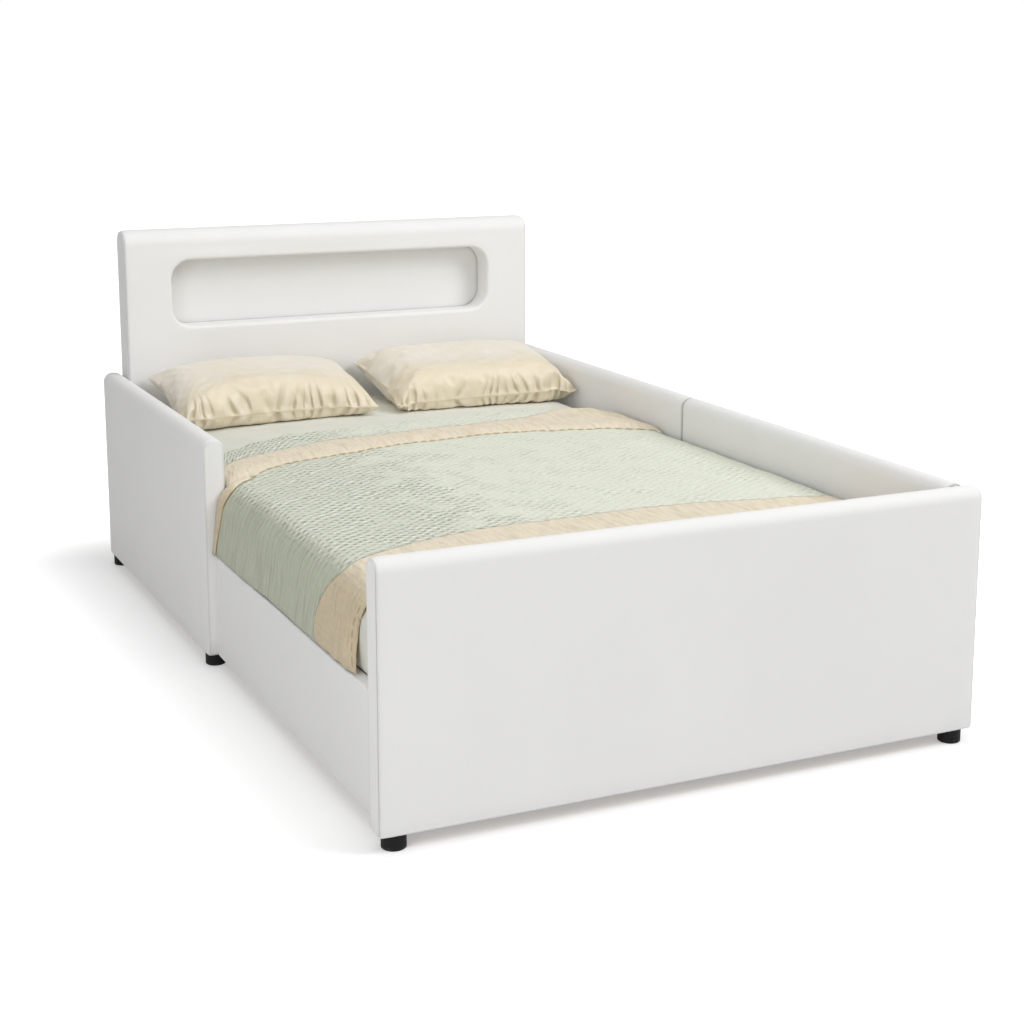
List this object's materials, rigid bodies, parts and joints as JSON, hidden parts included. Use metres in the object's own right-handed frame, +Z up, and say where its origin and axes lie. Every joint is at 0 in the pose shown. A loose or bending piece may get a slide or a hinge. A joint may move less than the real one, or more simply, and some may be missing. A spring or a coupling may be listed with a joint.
{
  "type": "upholstered bed",
  "caption": "Upholstered bed with padded guards, a low rail on the open side, a niche in the headboard and a slatted base, made up with a mattress, folded quilt and pillows.",
  "frame": {"origin": "on the floor under the middle of the bed's outline", "axes": "+Z up, +Y from the footboard to the headboard, +X to the side with the full-length guard"},
  "size_m": [1.33, 2.165, 0.95],
  "materials": {
    "upholstery": "smooth matte off-white cover over foam",
    "timber": "planed softwood and plywood, unpainted",
    "backing_board": "thin hardboard",
    "foot_plastic": "black moulded plastic",
    "steel": "zinc plated sheet steel",
    "bolts": "zinc plated",
    "webbing": "woven webbing",
    "ticking": "knitted ticking",
    "sheet_cotton": "smooth pale grey-green cotton",
    "quilt_cotton": "stitched sage green cotton with a beige reverse",
    "pillow_cotton": "cream satin cotton"
  },
  "bodies": {
    "bed_frame": {"beam_hangers": "steel", "beam_sleeve": "steel", "foot_beam": "timber", "foot_centre_leg": "timber", "footboard_cover": "upholstery", "footboard_frame": "timber", "frame_bolts": "bolts", "front_feet": "foot_plastic", "front_left_bracket": "steel", "front_right_bracket": "steel", "head_beam": "timber", "head_centre_leg": "timber", "headboard_back_panel": "backing_board", "headboard_cover": "upholstery", "headboard_frame": "timber", "joining_plates": "steel", "left_foot_ledger": "timber", "left_foot_rail_cover": "upholstery", "left_foot_rail_frame": "timber", "left_head_guard_cover": "upholstery", "left_head_guard_frame": "timber", "left_head_ledger": "timber", "middle_centre_leg": "timber", "middle_feet": "foot_plastic", "niche_back_panel": "upholstery", "niche_liner": "upholstery", "rear_feet": "foot_plastic", "rear_left_bracket": "steel", "rear_right_bracket": "steel", "right_foot_guard_cover": "upholstery", "right_foot_guard_frame": "timber", "right_foot_ledger": "timber", "right_head_guard_cover": "upholstery", "right_head_guard_frame": "timber", "right_head_ledger": "timber", "slat_01": "timber", "slat_02": "timber", "slat_03": "timber", "slat_04": "timber", "slat_05": "timber", "slat_06": "timber", "slat_07": "timber", "slat_08": "timber", "slat_09": "timber", "slat_10": "timber", "slat_11": "timber", "slat_12": "timber", "slat_straps": "webbing"},
    "mattress": {"mattress": "ticking", "fitted_sheet": "sheet_cotton"},
    "quilt": {"quilt": "quilt_cotton"},
    "left_pillow": {"left_pillow": "pillow_cotton"},
    "right_pillow": {"right_pillow": "pillow_cotton"}
  },
  "joints": [
    {"name": "mattress_lift", "type": "slide", "parent": "bed_frame", "child": "mattress", "axis": [0, 0, 1], "range_m": [0, 0.45]},
    {"name": "quilt_lift", "type": "slide", "parent": "mattress", "child": "quilt", "axis": [0, 0, 1], "range_m": [0, 0.35]},
    {"name": "left_pillow_lift", "type": "slide", "parent": "mattress", "child": "left_pillow", "axis": [0, 0, 1], "range_m": [0, 0.4]},
    {"name": "right_pillow_lift", "type": "slide", "parent": "mattress", "child": "right_pillow", "axis": [0, 0, 1], "range_m": [0, 0.4]}
  ]
}
